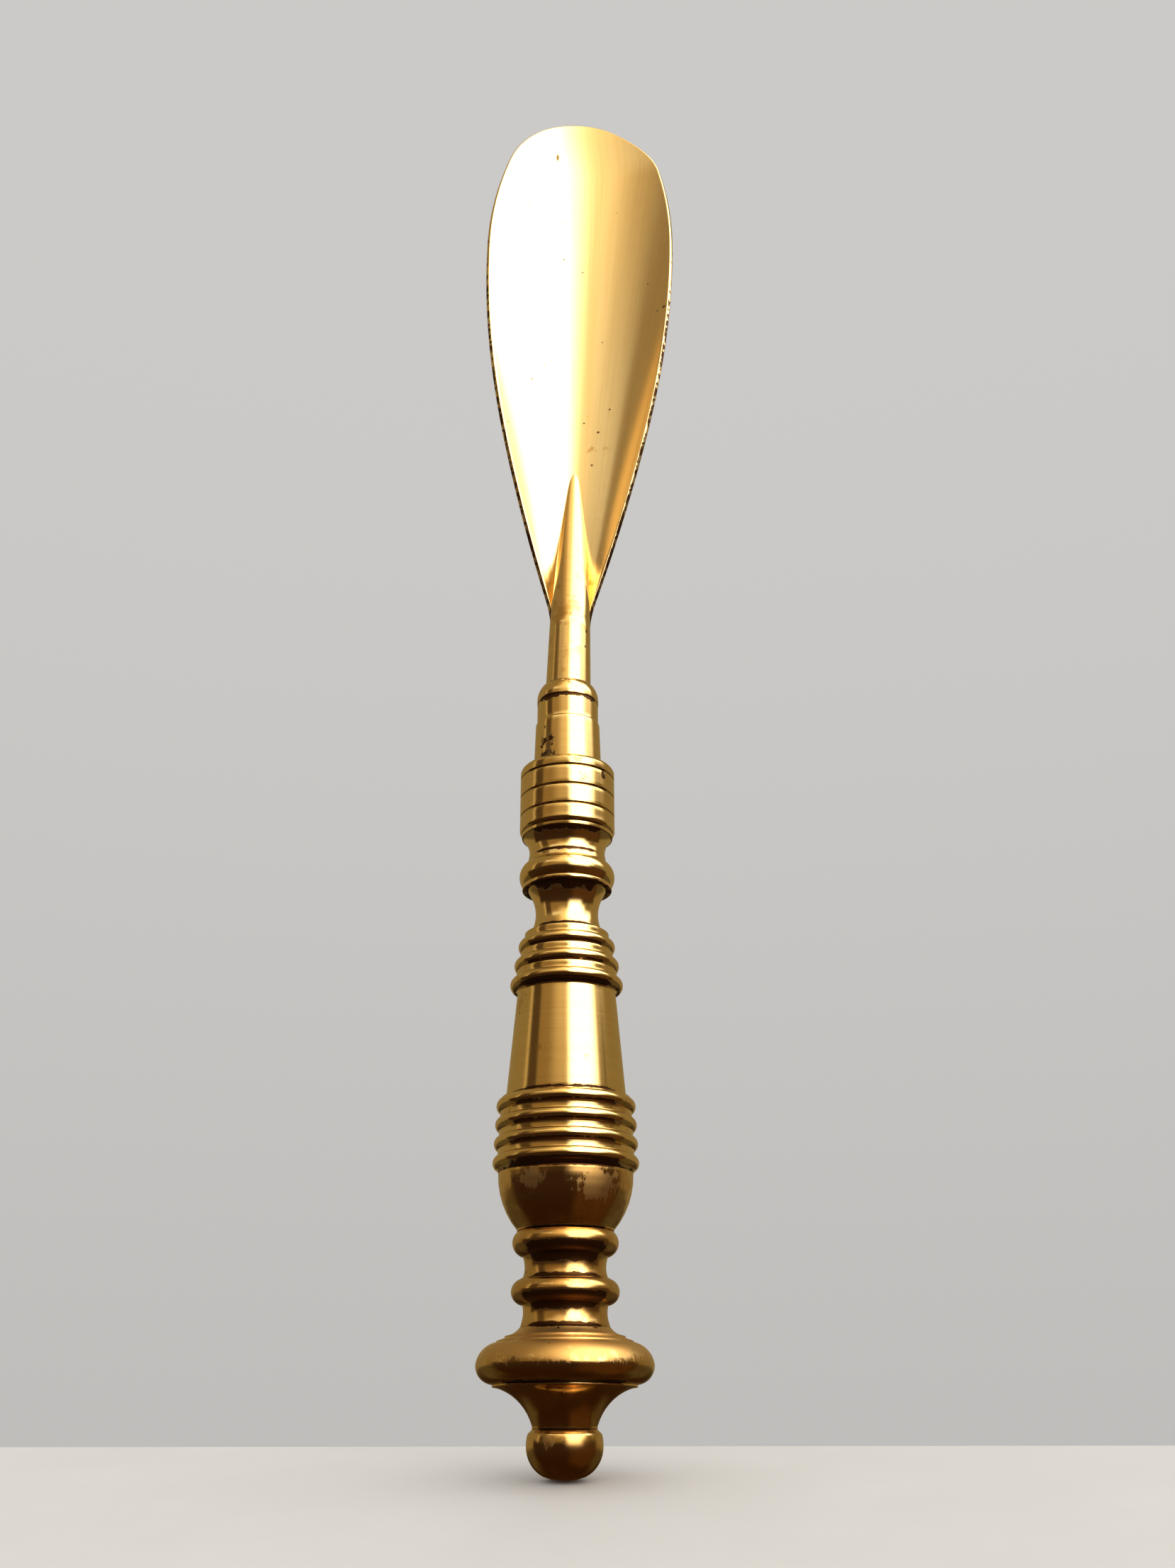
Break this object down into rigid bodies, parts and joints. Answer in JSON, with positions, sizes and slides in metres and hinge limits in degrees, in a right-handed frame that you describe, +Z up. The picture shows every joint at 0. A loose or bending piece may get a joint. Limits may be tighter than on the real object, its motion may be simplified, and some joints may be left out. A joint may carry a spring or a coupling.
{
  "type": "long shoehorn",
  "caption": "Long brass shoehorn: a hollow blade of rolled sheet brazed to a tapered stem, on a handle of turned brass sections clamped by a tie rod.",
  "frame": {"origin": "centre of the small flat under the ball finial", "axes": "+Z up the handle axis from the ball towards the blade; hollow side of the blade faces -Y; +X to the right when looking into the hollow side"},
  "size_m": [0.0439, 0.0312, 0.3095],
  "materials": {
    "turned_brass": "polished turned brass with dark tarnish in the joints",
    "aged_brass": "turned brass with a brown patina",
    "stem_brass": "polished drawn brass with brown spots",
    "sheet_brass": "polished sheet brass with fine lengthwise scratches",
    "rod_steel": "plain steel rod"
  },
  "bodies": {
    "root": {"ball_finial": "aged_brass", "trumpet_foot": "aged_brass", "pommel_disc": "aged_brass", "lower_ring_spool": "aged_brass", "upper_ring_spool": "aged_brass", "pommel_bulb": "aged_brass", "lower_reeded_ring": "turned_brass", "tapered_grip": "turned_brass", "upper_reeded_ring": "turned_brass", "waist_spool": "turned_brass", "upper_knop": "turned_brass", "grooved_collar": "turned_brass", "neck_ferrule": "turned_brass", "stem_collar": "turned_brass", "stem": "stem_brass", "blade": "sheet_brass", "tie_rod": "rod_steel"}
  },
  "joints": []
}
